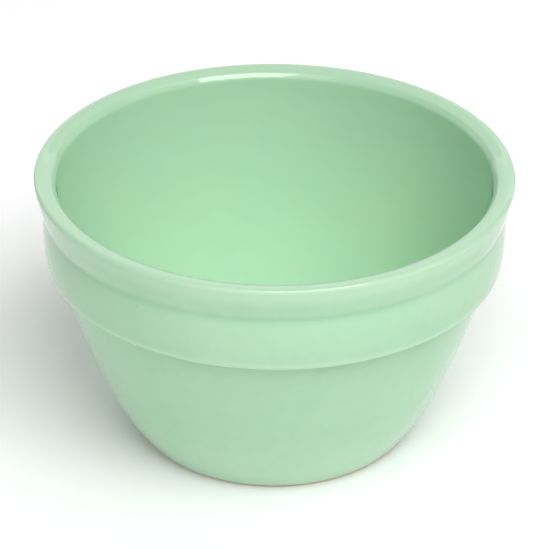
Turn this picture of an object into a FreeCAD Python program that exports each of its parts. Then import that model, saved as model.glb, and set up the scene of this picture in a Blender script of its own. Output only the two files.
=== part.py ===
import FreeCAD, Part
import math
import os

import Sketcher

# A round pudding-basin mixing bowl in glazed earthenware, in millimetres.
# +Z is up, Z = 0 is the plane that the foot ring stands on, and the Z axis is the bowl's own axis.
# The pot is thrown in one piece, so its solids are the fired clay and the two glass coats on it:
# one that runs unbroken from the foot, up the outside, over the rim and down the inside, and a
# small one inside the foot ring. The foot ring itself is wiped clean of glaze before firing.

# alias, value, what it measures. Sizes are those of the finished, glazed surface.
DIMENSIONS = [
    ("bowl_height", 120.2, "foot plane to the crest of the rim"),
    ("rim_radius", 100.0, "widest radius, on the bead of the rim"),
    ("crest_radius", 98.25, "radius of the rim's highest line"),
    ("rim_top_radius", 12.0, "curve of the rim's top across that line, seen in section"),
    ("crest_overhang", 0.09, "sharp outer corner of the rim outside the widest radius"),
    ("crest_round", 1.2, "rounding between the rim's top and the bead's face"),
    ("lip_edge_radius", 93.0, "radius where the rim's top turns down into its inner slope"),
    ("lip_edge_round", 1.5, "rounding there"),
    ("lip_slope_radius", 10.0, "curve of the rim's inner slope, seen in section"),
    ("lip_radius", 91.1, "inside radius of the mouth, at the foot of that slope"),
    ("lip_depth", 3.5, "crest of the rim down to the foot of that slope"),
    ("lip_round", 3.0, "rounding between that slope and the inside wall"),
    ("bead_face_radius", 61.0, "bulge of the bead's outer face"),
    ("groove_depth", 15.3, "crest of the rim down to the groove under the bead"),
    ("groove_radius", 96.5, "sharp bottom of the groove under the bead"),
    ("groove_round", 5.0, "rounding in the groove"),
    ("collar_low_depth", 38.6, "crest of the rim down to the collar's lower edge"),
    ("collar_low_radius", 96.3, "radius at the collar's lower edge"),
    ("collar_face_radius", 82.0, "bulge of the collar's face"),
    ("collar_edge_round", 1.8, "rounding of the collar's lower edge"),
    ("step_round", 1.6, "hollow rounding where the body meets the collar"),
    ("body_top_radius", 92.3, "radius of the body just under the collar"),
    ("body_upper_radius", 409.0, "curve of the body above its waist, seen from the side"),
    ("body_waist_height", 25.2, "height where the body starts to curve in faster"),
    ("body_waist_radius", 73.6, "radius of the body there"),
    ("foot_radius", 59.6, "radius of the body's side run down to the foot plane"),
    ("foot_round", 2.0, "rounding at the outside of the foot"),
    ("ring_inner_radius", 52.4, "inside of the foot ring's resting face"),
    ("recess_radius", 50.8, "radius of the flat recess inside the foot ring"),
    ("recess_depth", 1.6, "depth of the recess inside the foot ring"),
    ("recess_round", 0.9, "roundings of the foot ring's inner side"),
    ("wall_curve_radius", 265.0, "curve of the inside wall, seen from the side"),
    ("floor_height", 8.6, "inside floor above the foot plane"),
    ("floor_radius", 57.0, "radius where the wall's curve would meet the floor"),
    ("floor_round", 33.0, "hollow rounding between the wall and the floor"),
    ("glaze_thickness", 0.45, "thickness of the glass coats"),
    ("glaze_line_height", 1.3, "lower edge of the outer coat above the foot plane"),
    ("glaze_edge_round", 0.25, "rounding of that lower edge"),
    ("underside_glaze_radius", 49.1, "edge of the coat inside the foot ring"),
]


# how far from level an edge may be and still count as flat
FLAT = 0.001


def make_sheet(doc):
    """The sheet of driving dimensions: name, value and meaning in columns A, B and C."""
    sheet = doc.addObject("Spreadsheet::Sheet", "dims")
    for row, (alias, value, meaning) in enumerate(DIMENSIONS, start=1):
        sheet.set(f"A{row}", alias)
        sheet.set(f"B{row}", str(value))
        sheet.set(f"C{row}", meaning)
        sheet.setAlias(f"B{row}", alias)
    doc.recompute()
    return sheet


class Outline:
    """A closed outline in a sketch: corners bound to the sheet, joined by lines and arcs."""

    def __init__(self, sketch):
        self.sketch = sketch

    def point(self, corner):
        """The corner's place now, from its two expressions."""
        across = self.sketch.evalExpression(corner[0])
        up = self.sketch.evalExpression(corner[1])
        return FreeCAD.Vector(float(across), float(up), 0)

    def line(self, start, end):
        return self.sketch.addGeometry(Part.LineSegment(self.point(start), self.point(end)), False)

    def arc(self, start, end, radius, side):
        """An arc that bulges to the left of start-to-end with side 1 and to the right with -1."""
        first = self.point(start)
        last = self.point(end)
        chord = last - first
        half = chord.Length / 2
        sagitta = radius - math.sqrt(radius ** 2 - half ** 2)
        outwards = FreeCAD.Vector(-chord.y, chord.x, 0).normalize() * side
        middle = (first + last) * 0.5 + outwards * sagitta
        return self.sketch.addGeometry(Part.Arc(first, middle, last), False)

    def end(self, edge, corner):
        """Which end of the edge lies at the corner: 1 for its start, 2 for its end."""
        place = self.point(corner)
        near = [(self.sketch.getPoint(edge, which) - place).Length for which in (1, 2)]
        return 1 if near[0] < near[1] else 2

    def join(self, first, second, corner, kind="Coincident"):
        """Join two edges at the corner, "Coincident" for a corner and "Tangent" for a smooth joint."""
        ends = (first, self.end(first, corner), second, self.end(second, corner))
        self.sketch.addConstraint(Sketcher.Constraint(kind, *ends))

    def bind(self, kind, name, expression, *where):
        """Add a driving constraint with a name and take its value from the sheet."""
        value = float(self.sketch.evalExpression(expression))
        number = self.sketch.addConstraint(Sketcher.Constraint(kind, *where, value))
        self.sketch.renameConstraint(number, name)
        self.sketch.setExpression(f"Constraints.{name}", expression)

    def place(self, name, edge, corner):
        """Hold an edge's end at the corner: measured from the bowl's axis and the foot plane."""
        which = self.end(edge, corner)
        if corner[0] == "0":
            self.sketch.addConstraint(Sketcher.Constraint("PointOnObject", edge, which, -2))
        else:
            self.bind("DistanceX", name + "_across", corner[0], -1, 1, edge, which)
        if corner[1] == "0":
            self.sketch.addConstraint(Sketcher.Constraint("PointOnObject", edge, which, -1))
        else:
            self.bind("DistanceY", name + "_up", corner[1], -1, 1, edge, which)

    def bulge(self, name, edge, expression):
        self.bind("Radius", name, expression, edge)


def rim_top_height(across):
    """The height of the clay's rounded rim top at a radius, as an expression."""
    curve = "(dims.rim_top_radius - dims.glaze_thickness)"
    return (
        "dims.bowl_height - dims.rim_top_radius"
        f" + sqrt({curve} ^ 2 - ({across} - dims.crest_radius) ^ 2)"
    )


# Corners of the clay's half section, as (radius, height) expressions. The clay lies one glaze
# thickness inside the finished surface, except on the bare foot ring.
UNDERSIDE_CENTRE = ("0", "dims.recess_depth + dims.glaze_thickness")
RECESS_CORNER = ("dims.recess_radius", "dims.recess_depth + dims.glaze_thickness")
RING_INSIDE = ("dims.ring_inner_radius", "0")
FOOT_CORNER = ("dims.foot_radius - dims.glaze_thickness", "0")
WAIST = ("dims.body_waist_radius - dims.glaze_thickness", "dims.body_waist_height")
STEP_INSIDE = (
    "dims.body_top_radius - dims.glaze_thickness",
    "dims.bowl_height - dims.collar_low_depth + dims.glaze_thickness",
)
STEP_OUTSIDE = (
    "dims.collar_low_radius - dims.glaze_thickness",
    "dims.bowl_height - dims.collar_low_depth + dims.glaze_thickness",
)
GROOVE = (
    "dims.groove_radius - dims.glaze_thickness",
    "dims.bowl_height - dims.groove_depth",
)
CREST_ACROSS = "dims.rim_radius + dims.crest_overhang - dims.glaze_thickness"
CREST_CORNER = (CREST_ACROSS, rim_top_height(CREST_ACROSS))
LIP_EDGE_ACROSS = "(dims.lip_edge_radius + dims.glaze_thickness / 2)"
LIP_EDGE = (LIP_EDGE_ACROSS, rim_top_height(LIP_EDGE_ACROSS))
LIP_CORNER = (
    "dims.lip_radius + dims.glaze_thickness",
    "dims.bowl_height - dims.lip_depth - dims.glaze_thickness / 2",
)
FLOOR_CORNER = (
    "dims.floor_radius + dims.glaze_thickness",
    "dims.floor_height - dims.glaze_thickness",
)
FLOOR_CENTRE = ("0", "dims.floor_height - dims.glaze_thickness")


def draw_clay_section(sketch):
    """Half section of the clay, from the underside's centre outwards and up and back inside."""
    outline = Outline(sketch)
    upper_curve = float(sketch.evalExpression("dims.body_upper_radius"))
    collar_curve = float(sketch.evalExpression("dims.collar_face_radius"))
    bead_curve = float(sketch.evalExpression("dims.bead_face_radius"))
    top_curve = float(sketch.evalExpression("dims.rim_top_radius"))
    slope_curve = float(sketch.evalExpression("dims.lip_slope_radius"))
    wall_curve = float(sketch.evalExpression("dims.wall_curve_radius"))

    recess_flat = outline.line(UNDERSIDE_CENTRE, RECESS_CORNER)
    recess_wall = outline.line(RECESS_CORNER, RING_INSIDE)
    ring_face = outline.line(RING_INSIDE, FOOT_CORNER)
    body_lower = outline.arc(FOOT_CORNER, WAIST, upper_curve / 2, -1)
    body_upper = outline.arc(WAIST, STEP_INSIDE, upper_curve, -1)
    ledge = outline.line(STEP_INSIDE, STEP_OUTSIDE)
    collar = outline.arc(STEP_OUTSIDE, GROOVE, collar_curve, -1)
    bead = outline.arc(GROOVE, CREST_CORNER, bead_curve, -1)
    rim_top = outline.arc(CREST_CORNER, LIP_EDGE, top_curve, -1)
    inner_slope = outline.arc(LIP_EDGE, LIP_CORNER, slope_curve, -1)
    wall = outline.arc(LIP_CORNER, FLOOR_CORNER, wall_curve, 1)
    floor = outline.line(FLOOR_CORNER, FLOOR_CENTRE)
    axis = outline.line(FLOOR_CENTRE, UNDERSIDE_CENTRE)

    outline.join(recess_flat, recess_wall, RECESS_CORNER)
    outline.join(recess_wall, ring_face, RING_INSIDE)
    outline.join(ring_face, body_lower, FOOT_CORNER)
    outline.join(body_lower, body_upper, WAIST, "Tangent")
    outline.join(body_upper, ledge, STEP_INSIDE)
    outline.join(ledge, collar, STEP_OUTSIDE)
    outline.join(collar, bead, GROOVE)
    outline.join(bead, rim_top, CREST_CORNER)
    outline.join(rim_top, inner_slope, LIP_EDGE)
    outline.join(inner_slope, wall, LIP_CORNER)
    outline.join(wall, floor, FLOOR_CORNER)
    outline.join(floor, axis, FLOOR_CENTRE)
    outline.join(axis, recess_flat, UNDERSIDE_CENTRE)

    outline.place("underside", recess_flat, UNDERSIDE_CENTRE)
    outline.place("recess", recess_flat, RECESS_CORNER)
    outline.place("ring", recess_wall, RING_INSIDE)
    outline.place("foot", ring_face, FOOT_CORNER)
    outline.place("waist", body_upper, WAIST)
    outline.place("step", ledge, STEP_INSIDE)
    outline.place("collar_edge", ledge, STEP_OUTSIDE)
    outline.place("groove", collar, GROOVE)
    outline.place("crest", rim_top, CREST_CORNER)
    outline.place("lip_edge", rim_top, LIP_EDGE)
    outline.place("lip", inner_slope, LIP_CORNER)
    outline.place("floor_edge", floor, FLOOR_CORNER)
    outline.place("floor_middle", floor, FLOOR_CENTRE)

    outline.bulge("body_curve", body_upper, "dims.body_upper_radius - dims.glaze_thickness")
    outline.bulge("collar_curve", collar, "dims.collar_face_radius - dims.glaze_thickness")
    outline.bulge("bead_curve", bead, "dims.bead_face_radius - dims.glaze_thickness")
    outline.bulge("rim_top_curve", rim_top, "dims.rim_top_radius - dims.glaze_thickness")
    outline.bulge("lip_slope_curve", inner_slope, "dims.lip_slope_radius - dims.glaze_thickness")
    outline.bulge("wall_curve", wall, "dims.wall_curve_radius + dims.glaze_thickness")


def origin_plane(body, role):
    return next(item for item in body.Origin.OriginFeatures if item.Role == role)


def circle_at(shape, across, up):
    """The name of the circular edge nearest to a radius and height on the turned shape."""
    names = []
    for number, edge in enumerate(shape.Edges, start=1):
        if isinstance(edge.Curve, Part.Circle):
            miss = math.hypot(edge.Curve.Radius - across, edge.Curve.Center.z - up)
            names.append((miss, f"Edge{number}"))
    return min(names)[1]


def round_edge(doc, body, name, corner, radius):
    """Round the circular edge at a corner of the section, with a radius from the sheet."""
    base = body.Tip
    across = float(base.evalExpression(corner[0]))
    up = float(base.evalExpression(corner[1]))
    fillet = body.newObject("PartDesign::Fillet", name)
    fillet.Base = (base, [circle_at(base.Shape, across, up)])
    fillet.Radius = float(base.evalExpression(radius))
    fillet.setExpression("Radius", radius)
    doc.recompute()
    return fillet


def make_clay(doc):
    """The fired clay: the section turned about the axis, with its corners rounded."""
    body = doc.addObject("PartDesign::Body", "clay_body")
    body.Label = "clay_body"
    sketch = body.newObject("Sketcher::SketchObject", "clay_section")
    sketch.AttachmentSupport = [(origin_plane(body, "XZ_Plane"), "")]
    sketch.MapMode = "FlatFace"
    draw_clay_section(sketch)
    doc.recompute()

    turned = body.newObject("PartDesign::Revolution", "clay_turned")
    turned.Profile = sketch
    turned.ReferenceAxis = (sketch, ["V_Axis"])
    turned.Angle = 360
    sketch.Visibility = False
    doc.recompute()

    # A hollow rounding grows by the glaze under it, and a proud one shrinks by it.
    proud = "dims.{} - dims.glaze_thickness"
    hollow = "dims.{} + dims.glaze_thickness"
    round_edge(doc, body, "floor_rounding", FLOOR_CORNER, hollow.format("floor_round"))
    round_edge(doc, body, "lip_rounding", LIP_CORNER, proud.format("lip_round"))
    round_edge(doc, body, "lip_edge_rounding", LIP_EDGE, proud.format("lip_edge_round"))
    round_edge(doc, body, "crest_rounding", CREST_CORNER, proud.format("crest_round"))
    round_edge(doc, body, "groove_rounding", GROOVE, hollow.format("groove_round"))
    round_edge(doc, body, "collar_edge_rounding", STEP_OUTSIDE, proud.format("collar_edge_round"))
    round_edge(doc, body, "step_rounding", STEP_INSIDE, hollow.format("step_round"))
    round_edge(doc, body, "foot_rounding", FOOT_CORNER, proud.format("foot_round"))
    round_edge(doc, body, "ring_rounding", RING_INSIDE, "dims.recess_round")
    round_edge(doc, body, "recess_rounding", RECESS_CORNER, "dims.recess_round")
    return body


def make_grown(doc, clay):
    """The clay grown by one glaze thickness all over, from which both coats are cut."""
    grown = doc.addObject("Part::Offset", "clay_grown")
    grown.Source = clay
    grown.setExpression("Value", "dims.glaze_thickness")
    grown.Mode = "Skin"
    grown.Join = "Arc"
    return grown


def make_disc(doc, name, radius, bottom, top):
    """An upright cylinder on the bowl's axis, used to keep or remove one zone."""
    disc = doc.addObject("Part::Cylinder", name)
    disc.setExpression("Radius", radius)
    disc.setExpression("Height", f"({top}) - ({bottom})")
    disc.setExpression("Placement.Base.z", bottom)
    return disc


def combine(doc, kind, name, base, tool):
    """A boolean of two objects: Part::Cut or Part::Common."""
    result = doc.addObject(kind, name)
    result.Base = base
    result.Tool = tool
    return result


def widest_edge_at(shape, height):
    """The number of the widest edge that lies flat at a height."""
    flat = []
    for number, edge in enumerate(shape.Edges, start=1):
        box = edge.BoundBox
        if abs(box.ZMin - height) < FLAT and abs(box.ZMax - height) < FLAT:
            flat.append((box.DiagonalLength, number))
    return max(flat)[1]


def make_glaze_coat(doc, clay, grown):
    """The coat over the inside, the rim and the outside, ending in a round edge above the foot."""
    above_line = make_disc(
        doc,
        "above_glaze_line",
        "2 * dims.rim_radius",
        "dims.glaze_line_height",
        "2 * dims.bowl_height",
    )
    foot_hollow = make_disc(
        doc,
        "foot_hollow",
        "dims.ring_inner_radius",
        "0",
        "dims.recess_depth + 2 * dims.glaze_thickness",
    )
    coated = combine(doc, "Part::Common", "grown_above_line", grown, above_line)
    skin = combine(doc, "Part::Cut", "glaze_and_hollow", coated, clay)
    square_edged = combine(doc, "Part::Cut", "glaze_square_edged", skin, foot_hollow)
    doc.recompute()

    line_height = float(grown.evalExpression("dims.glaze_line_height"))
    lower_edge = widest_edge_at(square_edged.Shape, line_height)
    radius = float(grown.evalExpression("dims.glaze_edge_round"))
    coat = doc.addObject("Part::Fillet", "glaze_coat")
    coat.Base = square_edged
    coat.Edges = [(lower_edge, radius, radius)]
    return coat


def make_underside_glaze(doc):
    """The coat on the flat recess inside the foot ring: a thin disc with a round edge."""
    disc = make_disc(
        doc,
        "underside_disc",
        "dims.underside_glaze_radius",
        "dims.recess_depth",
        "dims.recess_depth + dims.glaze_thickness",
    )
    doc.recompute()
    height = float(disc.evalExpression("dims.recess_depth"))
    radius = float(disc.evalExpression("dims.glaze_edge_round"))
    coat = doc.addObject("Part::Fillet", "underside_glaze")
    coat.Base = disc
    coat.Edges = [(widest_edge_at(disc.Shape, height), radius, radius)]
    return coat


def check(doc, pieces):
    """Stop if any object failed, or if a piece isn't one valid solid."""
    for item in doc.Objects:
        if "Invalid" in item.State or "Error" in item.State:
            raise RuntimeError(f"{item.Name} is {item.State}")
    for piece in pieces:
        shape = piece.Shape
        if shape.isNull() or not shape.isValid() or len(shape.Solids) != 1:
            raise RuntimeError(f"{piece.Label} is not one valid solid")


def main():
    doc = FreeCAD.newDocument("mixing_bowl")
    make_sheet(doc)
    clay = make_clay(doc)
    grown = make_grown(doc, clay)
    pieces = [clay, make_glaze_coat(doc, clay, grown), make_underside_glaze(doc)]
    doc.recompute()
    check(doc, pieces)
    os.makedirs("parts", exist_ok=True)
    for piece in pieces:
        piece.Shape.exportStep(f"parts/{piece.Label}.step")
        print(piece.Label, round(piece.Shape.Volume), "cubic mm")


main()
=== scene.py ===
import math
import random

import bpy
import numpy as np
from mathutils import Matrix, Vector


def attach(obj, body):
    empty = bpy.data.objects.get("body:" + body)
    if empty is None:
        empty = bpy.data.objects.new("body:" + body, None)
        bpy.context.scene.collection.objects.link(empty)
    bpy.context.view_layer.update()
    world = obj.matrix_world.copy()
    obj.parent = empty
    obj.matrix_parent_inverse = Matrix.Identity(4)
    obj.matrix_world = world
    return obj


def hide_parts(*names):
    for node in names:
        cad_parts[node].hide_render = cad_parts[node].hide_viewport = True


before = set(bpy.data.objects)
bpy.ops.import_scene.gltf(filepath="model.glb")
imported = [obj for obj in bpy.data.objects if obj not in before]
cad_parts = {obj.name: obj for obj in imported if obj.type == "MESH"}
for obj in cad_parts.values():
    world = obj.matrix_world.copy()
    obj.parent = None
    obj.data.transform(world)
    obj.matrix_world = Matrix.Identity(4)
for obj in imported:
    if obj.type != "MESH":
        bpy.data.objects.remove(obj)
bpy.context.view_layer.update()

MM = 0.001
IMAGE_SIDE = 550

# ---------------------------------------------------------------------------------------------
# The bowl's own sizes, in millimetres: the same as the CAD's. They are those of the finished,
# glazed surface, and the clay lies one glaze thickness inside it.
# ---------------------------------------------------------------------------------------------
GLAZE = 0.45
BOWL_HEIGHT = 120.2
RIM_RADIUS = 100.0
CREST_RADIUS = 98.25
RIM_TOP_CURVE = 12.0
CREST_OVERHANG = 0.09
LIP_EDGE_RADIUS = 93.0
LIP_SLOPE_CURVE = 10.0
LIP_RADIUS = 91.1
LIP_DEPTH = 3.5
BEAD_CURVE = 61.0
GROOVE_DEPTH = 15.3
GROOVE_RADIUS = 96.5
COLLAR_DEPTH = 38.6
COLLAR_LOW_RADIUS = 96.3
COLLAR_CURVE = 82.0
BODY_TOP_RADIUS = 92.3
BODY_CURVE = 409.0
WAIST_HEIGHT = 25.2
WAIST_RADIUS = 73.6
FOOT_RADIUS = 59.6
RING_INNER_RADIUS = 52.4
RECESS_RADIUS = 50.8
RECESS_DEPTH = 1.6
WALL_CURVE = 265.0
FLOOR_HEIGHT = 8.6
FLOOR_RADIUS = 57.0
GLAZE_LINE = 1.3
UNDERSIDE_RADIUS = 49.1

# roundings: proud ones shrink by the glaze under them, hollow ones grow
CREST_ROUND = 1.2 - GLAZE
LIP_EDGE_ROUND = 1.5 - GLAZE
LIP_ROUND = 3.0 - GLAZE
GROOVE_ROUND = 5.0 + GLAZE
COLLAR_EDGE_ROUND = 1.8 - GLAZE
STEP_ROUND = 1.6 + GLAZE
FOOT_ROUND = 2.0 - GLAZE
FLOOR_ROUND = 33.0 + GLAZE
RECESS_ROUND = 0.9

NEARLY_STRAIGHT = 1.0e6


class Bow:
    """A stretch of outline: an arc from start to end, bulging to the right of travel with side
    -1 and to the left with side 1. A very large radius stands for a straight line."""

    def __init__(self, start, end, radius=NEARLY_STRAIGHT, side=-1):
        self.start = np.array(start, float)
        self.end = np.array(end, float)
        self.radius = radius
        self.side = side
        chord = self.end - self.start
        length = math.hypot(*chord)
        left = np.array([-chord[1], chord[0]]) / length
        reach = math.sqrt(radius ** 2 - (length / 2) ** 2)
        self.centre = (self.start + self.end) / 2 - left * side * reach

    def trimmed(self, start, end):
        bow = Bow.__new__(Bow)
        bow.start, bow.end = start, end
        bow.radius, bow.side, bow.centre = self.radius, self.side, self.centre
        return bow

    def nearest(self, place):
        """The point of the whole circle that is nearest to a place."""
        away = place - self.centre
        return self.centre + away * (self.radius / math.hypot(*away))

    def points(self, step):
        """Points along the arc, about a step apart, with its last point left out."""
        chord = self.end - self.start
        length = math.hypot(*chord)
        count = max(2, int(math.ceil(length / step)))
        along = np.linspace(0, 1, count, endpoint=False)
        half = min(1.0, length / (2 * self.radius))
        turn = 2 * math.asin(half)
        if turn < 1e-4:
            return self.start + along[:, None] * chord
        first = self.start - self.centre
        angle = along * turn * -self.side
        across = first[0] * np.cos(angle) - first[1] * np.sin(angle)
        up = first[0] * np.sin(angle) + first[1] * np.cos(angle)
        return self.centre + np.stack([across, up], 1)


def rounding(before, after, radius):
    """The arc of a radius that touches both bows at their shared corner, and both trimmed."""
    corner = before.end
    into = tangent(before, corner)
    out = tangent(after, corner)
    cross = into[0] * out[1] - into[1] * out[0]
    turn = 1 if cross > 0 else -1
    inner_a = before.radius + before.side * turn * radius
    inner_b = after.radius + after.side * turn * radius
    centre = crossing(before.centre, inner_a, after.centre, inner_b, corner)
    start = before.nearest(centre)
    end = after.nearest(centre)
    arc = Bow(start, end, radius, -turn)
    return before.trimmed(before.start, start), arc, after.trimmed(end, after.end)


def tangent(bow, place):
    """The direction of travel along the bow at one of its points."""
    out = (place - bow.centre) / bow.radius
    return np.array([out[1], -out[0]]) * bow.side


def crossing(centre_a, radius_a, centre_b, radius_b, near):
    """The crossing of two circles that is nearest to a place."""
    gap = centre_b - centre_a
    distance = math.hypot(*gap)
    along = (radius_a ** 2 - radius_b ** 2 + distance ** 2) / (2 * distance)
    off = math.sqrt(max(0.0, radius_a ** 2 - along ** 2))
    unit = gap / distance
    foot = centre_a + unit * along
    side = np.array([-unit[1], unit[0]]) * off
    both = [foot + side, foot - side]
    return min(both, key=lambda p: math.hypot(*(p - near)))


def tangent_bow(start, end, end_direction):
    """The arc from start to end that arrives in a direction."""
    chord = end - start
    left = np.array([-end_direction[1], end_direction[0]])
    radius = (chord @ chord) / (2 * abs(chord @ left))
    side = -1 if chord @ left < 0 else 1
    return Bow(start, end, radius, side)


def clay_outline():
    """The clay's half section as bows, from the glaze line's foot up and over to the floor's
    middle, and then along the underside to the foot, all as (radius, height)."""
    top = RIM_TOP_CURVE - GLAZE

    def on_rim_top(across):
        rise = math.sqrt(top ** 2 - (across - CREST_RADIUS) ** 2)
        return (across, BOWL_HEIGHT - RIM_TOP_CURVE + rise)

    foot = np.array([FOOT_RADIUS - GLAZE, 0.0])
    waist = np.array([WAIST_RADIUS - GLAZE, WAIST_HEIGHT])
    step_height = BOWL_HEIGHT - COLLAR_DEPTH + GLAZE
    step_in = (BODY_TOP_RADIUS - GLAZE, step_height)
    step_out = (COLLAR_LOW_RADIUS - GLAZE, step_height)
    groove = (GROOVE_RADIUS - GLAZE, BOWL_HEIGHT - GROOVE_DEPTH)
    crest = on_rim_top(RIM_RADIUS + CREST_OVERHANG - GLAZE)
    lip_edge = on_rim_top(LIP_EDGE_RADIUS + GLAZE / 2)
    lip = (LIP_RADIUS + GLAZE, BOWL_HEIGHT - LIP_DEPTH - GLAZE / 2)
    floor_edge = (FLOOR_RADIUS + GLAZE, FLOOR_HEIGHT - GLAZE)
    floor_middle = (0.0, FLOOR_HEIGHT - GLAZE)
    under_middle = (0.0, RECESS_DEPTH + GLAZE)
    recess = (RECESS_RADIUS, RECESS_DEPTH + GLAZE)
    ring = (RING_INNER_RADIUS, 0.0)

    body = Bow(waist, step_in, BODY_CURVE - GLAZE)
    lower = tangent_bow(foot, waist, tangent(body, waist))
    bows = [
        Bow(under_middle, recess),
        Bow(recess, ring),
        Bow(ring, foot),
        lower,
        body,
        Bow(step_in, step_out),
        Bow(step_out, groove, COLLAR_CURVE - GLAZE),
        Bow(groove, crest, BEAD_CURVE - GLAZE),
        Bow(crest, lip_edge, top),
        Bow(lip_edge, lip, LIP_SLOPE_CURVE - GLAZE),
        Bow(lip, floor_edge, WALL_CURVE + GLAZE, 1),
        Bow(floor_edge, floor_middle),
    ]
    radii = {
        0: RECESS_ROUND,
        1: RECESS_ROUND,
        2: FOOT_ROUND,
        4: STEP_ROUND,
        5: COLLAR_EDGE_ROUND,
        6: GROOVE_ROUND,
        7: CREST_ROUND,
        8: LIP_EDGE_ROUND,
        9: LIP_ROUND,
        10: FLOOR_ROUND,
    }
    done = []
    current = bows[0]
    for number, following in enumerate(bows[1:]):
        if number in radii:
            current, arc, following = rounding(current, following, radii[number])
            done += [current, arc]
        else:
            done.append(current)
        current = following
    done.append(current)
    return done


# The outline's points lie a share of each curve's radius apart, within limits, in millimetres.
STEP_SHARE = 0.13
STEP_FINEST = 0.16
STEP_COARSEST = 1.4
STEP_STRAIGHT = 1.0


def sampled(bows):
    """Points and outward normals along the bows: finer on tight curves."""
    places = []
    normals = []
    for bow in bows:
        step = min(STEP_COARSEST, max(STEP_FINEST, bow.radius * STEP_SHARE))
        if bow.radius == NEARLY_STRAIGHT:
            step = STEP_STRAIGHT
        for place in bow.points(step):
            places.append(place)
            direction = tangent(bow, place)
            normals.append((direction[1], -direction[0]))
    places.append(bows[-1].end)
    normals.append(normals[-1])
    return np.array(places), np.array(normals)


clay_places, clay_normals = sampled(clay_outline())

# Where each stretch lies along the outline, by distance travelled from the underside's middle.
steps = np.hypot(*np.diff(clay_places, axis=0).T)
travelled = np.concatenate([[0.0], np.cumsum(steps)])
widest = int(np.argmax(clay_places[:, 0]))
RING_FACE_END = FOOT_RADIUS - 1.5    # just inside the rounding at the outside of the foot


def travel_at_height(height):
    """How far along the outline the outside of the lower body passes a height."""
    body = np.arange(widest)
    body = body[clay_places[body, 0] > RING_FACE_END]
    body = body[clay_places[body, 1] < BOWL_HEIGHT / 2]
    return float(np.interp(height, clay_places[body, 1], travelled[body]))


def outline_at(distance, proud=0.0):
    """The outline's (radius, height) at distances along it, raised off the clay by proud."""
    across = np.interp(distance, travelled, clay_places[:, 0])
    up = np.interp(distance, travelled, clay_places[:, 1])
    out = np.interp(distance, travelled, clay_normals[:, 0])
    rise = np.interp(distance, travelled, clay_normals[:, 1])
    length = np.hypot(out, rise)
    return across + proud * out / length, up + proud * rise / length


# ---------------------------------------------------------------------------------------------
# The small irregularities of a made pot: the same for every piece, so that they stay together.
# ---------------------------------------------------------------------------------------------
AROUND = 420
angles = np.linspace(0, 2 * math.pi, AROUND, endpoint=False)


def wave(seed, terms, low, high):
    """A smooth closed wave round the bowl, about -1 to 1, from a few seeded harmonics."""
    draw = random.Random(seed)
    total = np.zeros(AROUND)
    power = 0.0
    for _ in range(terms):
        turns = draw.randint(low, high)
        size = draw.uniform(0.5, 1.0)
        total += size * np.sin(turns * angles + draw.uniform(0, 2 * math.pi))
        power += size ** 2
    return total / math.sqrt(power)


# How far the rim is out of round and out of level, in millimetres, above a true round foot.
OUT_OF_ROUND = 0.10 * wave(11, 3, 2, 4)
RIM_DIP = 0.07 * wave(12, 3, 2, 5)
TRUE_BELOW = 6.0

# Faint rings left by the forming: each has a phase and a spacing. They are RING_DEPTH deep in
# millimetres, start above the foot and fade in, and wander up and down by RING_WOBBLE radians.
RING_COUNT = 5
RING_DEPTH = 0.010
RINGS_ABOVE = 3.0
RINGS_FADE = 12.0
RING_STRETCH = 2.4
RING_WOBBLE = 0.6
FORMING_RINGS = [
    (random.Random(50 + k).uniform(0, 2 * math.pi), random.Random(80 + k).uniform(3.2, 8.5))
    for k in range(RING_COUNT)
]


def settle(across, up):
    """Moves (radius, height) arrays, one row per outline point and one column per angle, off
    the perfect round: a little out of round and level towards the rim, with faint rings."""
    share = np.clip((up - TRUE_BELOW) / (BOWL_HEIGHT - TRUE_BELOW), 0, 1)
    share = share * share * (3 - 2 * share)
    rings = np.zeros_like(up)
    for turn, spacing in FORMING_RINGS:
        wobble = RING_WOBBLE * np.sin(angles + turn)
        rings += np.sin(up * 2 * math.pi / spacing / RING_STRETCH + turn + wobble)
    lifted = np.clip((up - RINGS_ABOVE) / RINGS_FADE, 0, 1)
    moved = across * (1 + share * OUT_OF_ROUND / RIM_RADIUS) + RING_DEPTH * rings * lifted
    return moved, up + share * RIM_DIP


def lathe(name, across, up, closed, coat_depth_with_shade=None):
    """A mesh turned from (points x angles) arrays of radius and height in millimetres. The
    outline is a closed loop, or runs from the axis to the axis."""
    across, up = settle(across, up)
    rows = across.shape[0]
    x = across * np.cos(angles) * MM
    y = across * np.sin(angles) * MM
    z = up * MM
    grid = np.stack([x, y, z], 2)
    first = 0 if closed else 1
    last = rows if closed else rows - 1
    body = grid[first:last].reshape(-1, 3)
    vertices = [tuple(v) for v in body]
    count = last - first
    faces = []
    bands = count if closed else count - 1
    for row in range(bands):
        below = row * AROUND
        above = ((row + 1) % count) * AROUND
        for k in range(AROUND):
            n = (k + 1) % AROUND
            faces.append((below + k, below + n, above + n, above + k))
    if not closed:
        vertices.append((0.0, 0.0, float(z[0].mean())))
        vertices.append((0.0, 0.0, float(z[-1].mean())))
        low, high = len(vertices) - 2, len(vertices) - 1
        top_row = (count - 1) * AROUND
        for k in range(AROUND):
            n = (k + 1) % AROUND
            faces.append((low, n, k))
            faces.append((high, top_row + k, top_row + n))
    mesh = bpy.data.meshes.new(name)
    mesh.from_pydata(vertices, [], faces)
    mesh.validate()
    mesh.shade_smooth()
    # the glaze depth, with painted shade added on the coat's outside, goes to the material
    if coat_depth_with_shade is not None:
        depth = mesh.attributes.new("glaze_depth_and_shade", "FLOAT", "POINT")
        values = coat_depth_with_shade[first:last].reshape(-1)
        if not closed:
            values = np.concatenate([values, [coat_depth_with_shade[0].mean(), coat_depth_with_shade[-1].mean()]])
        depth.data.foreach_set("value", values.astype(np.float32))
    piece = bpy.data.objects.new(name, mesh)
    bpy.context.scene.collection.objects.link(piece)
    return piece


def columns(values):
    """One outline's values, repeated for every angle."""
    return np.repeat(np.asarray(values, float)[:, None], AROUND, axis=1)
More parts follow.
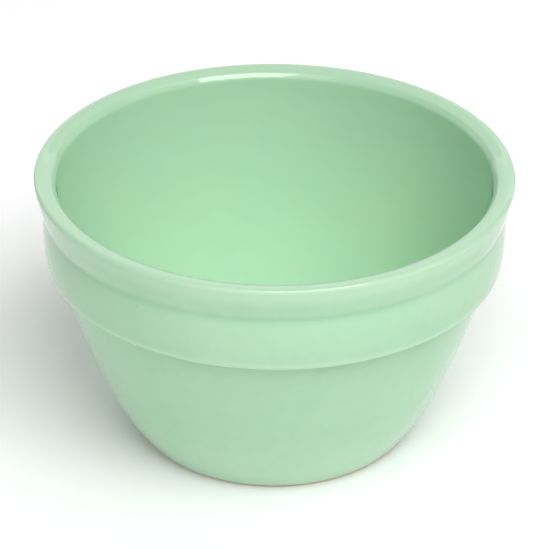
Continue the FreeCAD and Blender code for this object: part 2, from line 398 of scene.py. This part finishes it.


# ---------------------------------------------------------------------------------------------
# Glaze: how thick it lies. It runs off proud edges and gathers in hollows. Painted shade on the
# outside
# # is added to this depth, and its pale thin end is partly a painted highlight.
# ---------------------------------------------------------------------------------------------
# The outline's bend is taken at even steps in millimetres and blurred; the blur's reach and width
# are in steps. A larger gain makes the glaze thin and gather on gentler curves.
EVEN_STEP = 0.1
BLUR_REACH = 30
BLUR_WIDTH = 9.0
GATHER_GAIN = 1.6

turning = np.unwrap(np.arctan2(clay_normals[:, 1], clay_normals[:, 0]))
even = np.arange(0, travelled[-1], EVEN_STEP)
bend = np.gradient(np.interp(even, travelled, turning), even)
kernel = np.exp(-0.5 * (np.arange(-BLUR_REACH, BLUR_REACH + 1) / BLUR_WIDTH) ** 2)
kernel /= kernel.sum()
bend = np.convolve(bend, kernel, mode="same")


def gathered(distance):
    """Glaze depth from 0, run off a sharp edge, through 0.5 to 1, gathered in a hollow."""
    here = np.interp(distance, even, bend)
    return np.clip(0.5 - 0.5 * np.tanh(here * GATHER_GAIN), 0, 1)


# The coat's wiped edge over the foot, in millimetres: it wanders by a wave that fades upwards,
# rolls over to the clay, and is thinner close to the edge by a share of the usual depth.
edge_travel = travel_at_height(GLAZE_LINE)
EDGE_WAVE = 0.22 * wave(21, 5, 3, 17) + 0.10 * wave(22, 4, 19, 41)
EDGE_WAVE_FADE = 9.0
EDGE_ROLL = 0.35
EDGE_THINNEST = 0.35
EDGE_THIN_WIDTH = 2.5
ROLL_STEPS = 5
PIN_HOLE = 0.02

# Above this height the glaze is never thinner than this depth: the rim's top isn't quite bare,
# and
# # mostly keeps off the pale colour that is partly a painted highlight.
RIM_COVERED = 108.0
RIM_THINNEST = 0.26

# Painted shade: the outside is pushed towards the deep glaze colour, as extra depth, except on
# the
# # rim and close to the foot. The top and the two fades are heights in millimetres.
OUTSIDE_PAINTED_SHADE = 0.15
EXTRA_TOP = 117.0
EXTRA_TOP_FADE = 5.0
EXTRA_FOOT_FADE = 38.0


def glaze_coat():
    """The main coat: a closed skin from the wiped edge over the foot, up, over and inside."""
    keep = travelled[travelled > edge_travel + 2 * EDGE_ROLL]
    roll = np.linspace(0, 1, ROLL_STEPS, endpoint=False)
    rolled = edge_travel + EDGE_ROLL * (1 - np.cos(roll * math.pi / 2))
    start = np.concatenate([rolled, keep])
    proud = np.concatenate([GLAZE * np.sin(roll * math.pi / 2), np.full(len(keep), GLAZE)])
    fade = np.clip(1 - (start - edge_travel) / EDGE_WAVE_FADE, 0, 1) ** 2
    shifted = columns(start) + fade[:, None] * EDGE_WAVE
    lift = np.repeat(proud[:, None], AROUND, axis=1)
    front = outline_at(shifted, lift)
    back_run = shifted[1:][::-1]
    back = outline_at(back_run, np.zeros_like(back_run))
    across = np.concatenate([front[0], back[0]])
    up = np.concatenate([front[1], back[1]])
    depth = gathered(start)
    height = outline_at(start)[1]
    # painted shade: the outside, below the rim and above the foot, gets extra depth and so a
    # deeper colour
    below_rim = np.clip((EXTRA_TOP - height) / EXTRA_TOP_FADE, 0, 1)
    above_foot = np.clip(height / EXTRA_FOOT_FADE, 0, 1)
    outside = start < start[np.argmax(height)]
    depth = depth + OUTSIDE_PAINTED_SHADE * below_rim * above_foot * outside
    on_rim = height > RIM_COVERED
    depth = np.where(on_rim, np.maximum(depth, RIM_THINNEST), depth)
    from_edge = np.clip((start - edge_travel) / EDGE_THIN_WIDTH, 0, 1)
    depth = depth * (EDGE_THINNEST + (1 - EDGE_THINNEST) * from_edge)
    depth = columns(np.concatenate([depth, depth[1:][::-1]]))
    # the loop meets the axis on the floor: its two points there are drawn in to a pin-hole
    across = np.maximum(across, PIN_HOLE)
    return lathe("mint_glaze_coat", across, up, True, depth)


def clay_body():
    """The fired clay inside the coat, showing only on the foot ring."""
    across = columns(np.maximum(clay_places[:, 0], 0.0))
    up = columns(clay_places[:, 1])
    return lathe("fired_clay_body", across, up, False)


# The underside's patch: its wandering edge and the width of its rolled edge in millimetres, and
# the glaze's depth in the middle, towards the edge and on the roll. The higher a power is, the
# closer its effect keeps to the edge.
PATCH_ROWS = 26
PATCH_TOP_ROWS = 7
PATCH_WAVE = 0.35 * wave(31, 5, 3, 15) + 0.15 * wave(32, 4, 17, 37)
PATCH_WAVE_POWER = 6
PATCH_ROLL = 0.25
PATCH_DEPTH = 0.5
PATCH_ROLL_DEPTH = 0.6
PATCH_EDGE_EXTRA = 0.3
PATCH_EDGE_POWER = 8


def underside_glaze():
    """The patch of glaze inside the foot ring, thicker at its rolled edge, with a wiped rim."""
    run = np.linspace(0, 1, PATCH_ROWS)
    flat = UNDERSIDE_RADIUS * run
    reach = columns(flat) + (run[:, None] ** PATCH_WAVE_POWER) * PATCH_WAVE
    face = np.full_like(reach, RECESS_DEPTH)
    roll = np.linspace(0, 1, ROLL_STEPS + 1)[1:]
    edge = UNDERSIDE_RADIUS + PATCH_WAVE
    roll_out = edge + (PATCH_ROLL * np.sin(roll * math.pi / 2))[:, None]
    roll_up = RECESS_DEPTH + columns(GLAZE * (1 - np.cos(roll * math.pi / 2)))
    top = np.linspace(1, 0, PATCH_TOP_ROWS + 1)[1:]
    top_reach = top[:, None] * (edge + PATCH_ROLL)
    top_up = np.full_like(top_reach, RECESS_DEPTH + GLAZE)
    across = np.concatenate([reach, roll_out, top_reach])
    up = np.concatenate([face, roll_up, top_up])
    face_depth = PATCH_DEPTH + PATCH_EDGE_EXTRA * run ** PATCH_EDGE_POWER
    roll_depth = np.full(len(roll), PATCH_ROLL_DEPTH)
    top_depth = np.full(PATCH_TOP_ROWS, PATCH_DEPTH)
    depth = columns(np.concatenate([face_depth, roll_depth, top_depth]))
    return lathe("underside_glaze_patch", across, up, False, depth)


# ---------------------------------------------------------------------------------------------
# Materials
# ---------------------------------------------------------------------------------------------
class Nodes:
    """A material's node tree, with short calls to add and link nodes."""

    def __init__(self, name):
        self.material = bpy.data.materials.new(name)
        self.material.use_nodes = True
        self.tree = self.material.node_tree
        self.shader = self.tree.nodes["Principled BSDF"]
        self.place = self.add("ShaderNodeTexCoord").outputs["Object"]

    def add(self, kind, **inputs):
        node = self.tree.nodes.new(kind)
        for name, value in inputs.items():
            self.put(node.inputs[name.replace("_", " ")], value)
        return node

    def put(self, socket, value):
        if isinstance(value, bpy.types.NodeSocket):
            self.tree.links.new(value, socket)
        else:
            socket.default_value = value

    def noise(self, scale, detail=2.0, roughness=0.5, stretch=None):
        vector = self.place
        if stretch:
            scaled = self.add("ShaderNodeMapping", Vector=vector, Scale=stretch)
            vector = scaled.outputs["Vector"]
        node = self.add("ShaderNodeTexNoise", Vector=vector, Scale=scale, Detail=detail)
        node.inputs["Roughness"].default_value = roughness
        return node.outputs["Fac"]

    def math(self, operation, first, second=0.0, clamp=False):
        node = self.tree.nodes.new("ShaderNodeMath")
        node.operation = operation
        node.use_clamp = clamp
        self.put(node.inputs[0], first)
        self.put(node.inputs[1], second)
        return node.outputs[0]

    def fit(self, value, low, high, to_low=0.0, to_high=1.0):
        node = self.add("ShaderNodeMapRange", Value=value)
        node.inputs["From Min"].default_value = low
        node.inputs["From Max"].default_value = high
        node.inputs["To Min"].default_value = to_low
        node.inputs["To Max"].default_value = to_high
        return node.outputs["Result"]

    def mix(self, share, first, second, blend="MIX"):
        node = self.tree.nodes.new("ShaderNodeMix")
        node.data_type = "RGBA"
        node.blend_type = blend
        self.put(node.inputs["Factor"], share)
        self.put(node.inputs[6], first)
        self.put(node.inputs[7], second)
        return node.outputs[2]

    def bump(self, height, distance, strength=1.0, normal=None):
        node = self.add("ShaderNodeBump", Height=height, Distance=distance, Strength=strength)
        if normal is not None:
            self.put(node.inputs["Normal"], normal)
        return node.outputs["Normal"]


# Glaze: its usual colour and the same a little cooler. The deep colour is pooled glaze, and also
# painted
# # shade on the outside wall; the thin colour is thin glaze on proud edges, and partly a painted
# highlight there
MINT = (0.508, 0.766, 0.527, 1)
MINT_POOLED_AND_SHADE = (0.370, 0.672, 0.415, 1)
MINT_THIN_AND_HIGHLIGHT = (0.600, 0.800, 0.600, 1)
MINT_COOL = (0.494, 0.763, 0.540, 1)

# Fine dark spots scattered in the glaze: how far each reaches in its cell, the share of the
# cells that hold one, and how strongly it shows.
SPECK = (0.12, 0.20, 0.12, 1)
SPOT_REACH = 0.045
SPOT_SHARE = 0.03
SPOT_STRENGTH = 0.35
# one fleck that stands on the front of the collar, in metres, and its size
COLLAR_SPECK = (-0.0534, -0.0803, 0.1014)
SPECK_SIZE = 0.0006


def glaze_material():
    n = Nodes("mint_glaze")
    # glaze depth, with painted shade added on the outside wall
    depth = n.add("ShaderNodeAttribute")
    depth.attribute_name = "glaze_depth_and_shade"
    depth = depth.outputs["Fac"]
    clouds = n.noise(26.0, 3.0, 0.55)
    mottle = n.noise(190.0, 3.0, 0.6)
    depth = n.math("ADD", depth, n.fit(clouds, 0.3, 0.7, -0.03, 0.03))
    depth = n.math("ADD", depth, n.fit(mottle, 0.3, 0.7, -0.02, 0.02))
    colour = n.mix(n.fit(clouds, 0.35, 0.68), MINT, MINT_COOL)
    # deep colour: pooled glaze in hollows, and painted shade on the outside wall
    colour = n.mix(n.fit(depth, 0.52, 0.78), colour, MINT_POOLED_AND_SHADE)
    # pale colour: thin glaze on proud edges, and partly a painted highlight along them
    colour = n.mix(n.fit(depth, 0.30, 0.08), colour, MINT_THIN_AND_HIGHLIGHT)
    cells = n.add("ShaderNodeTexVoronoi", Vector=n.place, Scale=95.0)
    spot = n.math("LESS_THAN", cells.outputs["Distance"], SPOT_REACH)
    rare = n.add("ShaderNodeSeparateColor", Color=cells.outputs["Color"])
    rare = n.math("LESS_THAN", rare.outputs["Red"], SPOT_SHARE)
    spot = n.math("MULTIPLY", spot, rare)
    colour = n.mix(n.math("MULTIPLY", spot, SPOT_STRENGTH), colour, SPECK)
    off = n.add("ShaderNodeVectorMath", Vector=n.place)
    off.operation = "DISTANCE"
    off.inputs[1].default_value = COLLAR_SPECK
    fleck = n.fit(off.outputs["Value"], SPECK_SIZE, SPECK_SIZE / 3, 0.0, 0.40)
    colour = n.mix(fleck, colour, SPECK)
    n.put(n.shader.inputs["Base Color"], colour)
    n.put(n.shader.inputs["Roughness"], n.fit(mottle, 0.3, 0.7, 0.030, 0.060))
    n.shader.inputs["IOR"].default_value = 1.5
    peel = n.noise(330.0, 2.0, 0.5)
    soft = n.noise(70.0, 2.0, 0.5)
    normal = n.bump(peel, 0.00002, 0.6)
    normal = n.bump(soft, 0.00010, 0.5, normal)
    n.put(n.shader.inputs["Normal"], normal)
    return n.material


CLAY = (0.660, 0.540, 0.360, 1)
CLAY_PALE = (0.740, 0.630, 0.450, 1)
CLAY_PITS = (0.360, 0.250, 0.150, 1)
CLAY_GRIT = (0.20, 0.13, 0.08, 1)


def clay_material():
    n = Nodes("bare_clay")
    grain = n.noise(900.0, 4.0, 0.65)
    clouds = n.noise(45.0, 3.0, 0.55)
    colour = n.mix(n.fit(clouds, 0.35, 0.65), CLAY, CLAY_PALE)
    colour = n.mix(n.fit(grain, 0.50, 0.72, 0.0, 0.5), colour, CLAY_PITS)
    cells = n.add("ShaderNodeTexVoronoi", Vector=n.place, Scale=520.0)
    grit = n.math("LESS_THAN", cells.outputs["Distance"], 0.16)
    colour = n.mix(n.math("MULTIPLY", grit, 0.35), colour, CLAY_GRIT)
    n.put(n.shader.inputs["Base Color"], colour)
    n.put(n.shader.inputs["Roughness"], n.fit(grain, 0.3, 0.7, 0.72, 0.92))
    normal = n.bump(grain, 0.00012, 0.8)
    n.put(n.shader.inputs["Normal"], normal)
    return n.material


PAPER = (0.90, 0.90, 0.90, 1)
PAPER_PALE = (0.92, 0.92, 0.92, 1)
# The paper glows as painted light, with no lamp behind it: faintly beside the bowl and fully
# further off.
GLOW_NEAR = 0.05
GLOW_FAR = 0.28
GLOW_LOW = 0.11
GLOW_HIGH = 0.33


def floor_material():
    n = Nodes("studio_floor")
    paper = n.noise(14.0, 3.0, 0.5)
    colour = n.mix(n.fit(paper, 0.3, 0.7), PAPER, PAPER_PALE)
    n.put(n.shader.inputs["Base Color"], colour)
    n.shader.inputs["Roughness"].default_value = 0.9
    n.shader.inputs["Specular IOR Level"].default_value = 0.1
    n.shader.inputs["Emission Color"].default_value = (1, 1, 1, 1)
    # painted light: the floor glows, more the further it lies from the bowl
    away = n.add("ShaderNodeVectorMath", Vector=n.place)
    away.operation = "LENGTH"
    glow = n.fit(away.outputs["Value"], GLOW_NEAR, GLOW_FAR, GLOW_LOW, GLOW_HIGH)
    n.put(n.shader.inputs["Emission Strength"], glow)
    return n.material


glaze = glaze_material()
clay = clay_material()

coat = glaze_coat()
coat.data.materials.append(glaze)
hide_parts("glaze_coat")
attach(coat, "root")

body = clay_body()
body.data.materials.append(clay)
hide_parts("clay_body")
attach(body, "root")

patch = underside_glaze()
patch.data.materials.append(glaze)
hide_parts("underside_glaze")
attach(patch, "root")

# ---------------------------------------------------------------------------------------------
# Studio: a pale floor, one soft box high in front of the bowl, and weak panels round it
# ---------------------------------------------------------------------------------------------
FLOOR_SIDE = 12.0
bpy.ops.mesh.primitive_grid_add(x_subdivisions=4, y_subdivisions=4, size=FLOOR_SIDE)
floor = bpy.context.active_object
floor.name = "studio_floor"
floor.data.materials.append(floor_material())

scene = bpy.context.scene
scene.view_settings.view_transform = "Standard"

world = bpy.data.worlds.new("studio_surround")
scene.world = world
world.use_nodes = True
background = world.node_tree.nodes["Background"]
background.inputs["Color"].default_value = (1.0, 1.0, 1.0, 1)
background.inputs["Strength"].default_value = 0.02

# metres: every panel is aimed at the middle of the bowl's mouth
MOUTH_MIDDLE = np.array([0.0, 0.0, 0.12])


def panel(name, direction, distance, width, height, radiance):
    """A soft rectangular light that faces the bowl's mouth, with its brightness as radiance."""
    light = bpy.data.lights.new(name, "AREA")
    light.shape = "RECTANGLE"
    light.size = width
    light.size_y = height
    light.energy = radiance * width * height * math.pi
    lamp = bpy.data.objects.new(name, light)
    scene.collection.objects.link(lamp)
    unit = np.array(direction, float)
    unit /= math.sqrt(unit @ unit)
    lamp.location = MOUTH_MIDDLE + unit * distance
    lamp.rotation_euler = Vector(unit).to_track_quat("Z", "Y").to_euler()
    return lamp


# name, direction from the mouth, distance, width, height, radiance; lengths in metres
PANELS = [
    ("key_soft_box", (0.2164, -0.5317, 0.8188), 1.5, 1.00, 0.78, 6.4),
    ("key_diffuser", (0.08, -0.58, 0.81), 1.8, 1.9, 1.5, 1.26),
    ("top_right_fill", (0.45, -0.05, 0.89), 1.7, 0.9, 0.9, 1.1),
    ("left_fill", (-0.97, 0.05, 0.25), 1.7, 1.0, 0.9, 0.3),
    ("back_wall", (0.0, 0.97, 0.28), 2.2, 3.0, 1.1, 1.0),
    ("back_right_wall", (0.80, 0.60, 0.25), 2.0, 1.2, 1.0, 0.4),
    ("back_left_wall", (-0.80, 0.60, 0.25), 2.0, 1.2, 1.0, 0.7),
    ("back_top_fill", (0.0, 0.70, 0.70), 1.7, 1.6, 1.0, 0.5),
]
for settings in PANELS:
    panel(*settings)

# ---------------------------------------------------------------------------------------------
# Camera: a long lens, a metre off and 31 degrees down on the bowl
# ---------------------------------------------------------------------------------------------
FOCAL_PIXELS = 2451.2
SENSOR = 36.0
CAMERA_PLACE = (0.00031, -0.90, 0.60224)
CAMERA_PITCH = 0.53556
CAMERA_ROLL = 0.0062

camera_data = bpy.data.cameras.new("camera")
camera_data.sensor_width = SENSOR
camera_data.lens = FOCAL_PIXELS / IMAGE_SIDE * SENSOR
camera_data.clip_start = 0.01
camera_data.clip_end = 100.0
camera = bpy.data.objects.new("camera", camera_data)
scene.collection.objects.link(camera)
camera.location = CAMERA_PLACE
tilt = Matrix.Rotation(math.pi / 2 - CAMERA_PITCH, 4, "X")
aim = tilt @ Matrix.Rotation(CAMERA_ROLL, 4, "Z")
camera.rotation_euler = aim.to_euler()
scene.camera = camera
